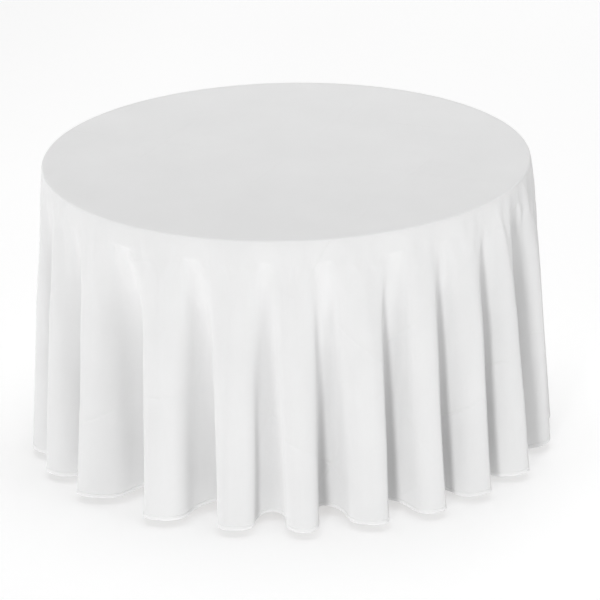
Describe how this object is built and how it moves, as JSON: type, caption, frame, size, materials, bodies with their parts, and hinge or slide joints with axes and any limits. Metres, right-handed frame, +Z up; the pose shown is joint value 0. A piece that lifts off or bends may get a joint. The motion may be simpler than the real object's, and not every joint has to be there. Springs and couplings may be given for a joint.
{
  "type": "tablecloth on a round folding table",
  "caption": "Round folding table hidden under a white round tablecloth that falls in deep folds to just above the floor, all the way round.",
  "frame": {"origin": "middle of the table's footprint, on the floor", "axes": "+Z up; X across the two leg frames, frame a at +X and frame b at -X; the side seen in the picture faces -Y"},
  "size_m": [1.3216, 1.3216, 0.7443],
  "materials": {
    "white_cloth": "matte",
    "hem_cloth": "matte",
    "thread": "satin",
    "label_tape": "satin",
    "plywood": "matte",
    "laminate": "satin",
    "edge_vinyl": "satin",
    "bent_ply": "matte",
    "hardwood": "matte",
    "coated_steel": "satin",
    "zinc_steel": "satin",
    "nylon": "satin",
    "end_cap_plastic": "matte",
    "foot_rubber": "matte"
  },
  "bodies": {
    "table": {"plywood_top": "plywood", "top_laminate": "laminate", "edge_band": "edge_vinyl", "apron_hoop": "bent_ply", "runner_left": "hardwood", "runner_right": "hardwood", "runner_screws": "zinc_steel", "centre_bracket": "zinc_steel", "centre_bracket_screws": "zinc_steel", "centre_pin": "zinc_steel", "pivot_bushes_a": "nylon", "pivot_bushes_b": "nylon"},
    "leg_frame_a": {"pivot_tube_a": "coated_steel", "pivot_end_caps_a": "end_cap_plastic", "leg_a_left": "coated_steel", "leg_a_right": "coated_steel", "foot_cap_a_left": "foot_rubber", "foot_cap_a_right": "foot_rubber", "crossbar_a": "coated_steel", "brace_lug_a": "coated_steel", "brace_pin_a": "zinc_steel"},
    "upper_brace_a": {"upper_brace_bar_a": "zinc_steel", "knee_rivet_upper_a": "zinc_steel"},
    "lower_brace_a": {"lower_brace_bar_a": "zinc_steel", "knee_rivet_lower_a": "zinc_steel"},
    "leg_frame_b": {"pivot_tube_b": "coated_steel", "pivot_end_caps_b": "end_cap_plastic", "leg_b_left": "coated_steel", "leg_b_right": "coated_steel", "foot_cap_b_left": "foot_rubber", "foot_cap_b_right": "foot_rubber", "crossbar_b": "coated_steel", "brace_lug_b": "coated_steel", "brace_pin_b": "zinc_steel"},
    "upper_brace_b": {"upper_brace_bar_b": "zinc_steel", "knee_rivet_upper_b": "zinc_steel"},
    "lower_brace_b": {"lower_brace_bar_b": "zinc_steel", "knee_rivet_lower_b": "zinc_steel"},
    "cloth": {"tablecloth": "white_cloth", "hem": "hem_cloth", "hem_thread": "thread", "care_label": "label_tape"}
  },
  "joints": [
    {"name": "leg_fold_a", "type": "hinge", "parent": "table", "child": "leg_frame_a", "pos_m": [0.38, 0, 0.699], "axis": [0, 1, 0], "range_deg": [0, 90]},
    {"name": "upper_brace_turn_a", "type": "hinge", "parent": "table", "child": "upper_brace_a", "pos_m": [0, 0, 0.703], "axis": [0, -1, 0], "range_deg": [0, 32]},
    {"name": "lower_brace_turn_a", "type": "hinge", "parent": "leg_frame_a", "child": "lower_brace_a", "pos_m": [0.38, 0, 0.449], "axis": [0, 1, 0], "range_deg": [0, 58]},
    {"name": "leg_fold_b", "type": "hinge", "parent": "table", "child": "leg_frame_b", "pos_m": [-0.38, 0, 0.704], "axis": [0, -1, 0], "range_deg": [0, 90]},
    {"name": "upper_brace_turn_b", "type": "hinge", "parent": "table", "child": "upper_brace_b", "pos_m": [0, 0, 0.703], "axis": [0, 1, 0], "range_deg": [0, 33.68]},
    {"name": "lower_brace_turn_b", "type": "hinge", "parent": "leg_frame_b", "child": "lower_brace_b", "pos_m": [-0.38, 0, 0.454], "axis": [0, -1, 0], "range_deg": [0, 56.32]},
    {"name": "cloth_lift", "type": "slide", "parent": "table", "child": "cloth", "axis": [0, 0, 1], "range_m": [0, 0.76]}
  ],
  "couplings": [
    {"joint": "upper_brace_turn_a", "follows": "leg_fold_a", "ratio": 0.35552},
    {"joint": "lower_brace_turn_a", "follows": "leg_fold_a", "ratio": 0.64448},
    {"joint": "upper_brace_turn_b", "follows": "leg_fold_b", "ratio": 0.37418},
    {"joint": "lower_brace_turn_b", "follows": "leg_fold_b", "ratio": 0.62582}
  ]
}
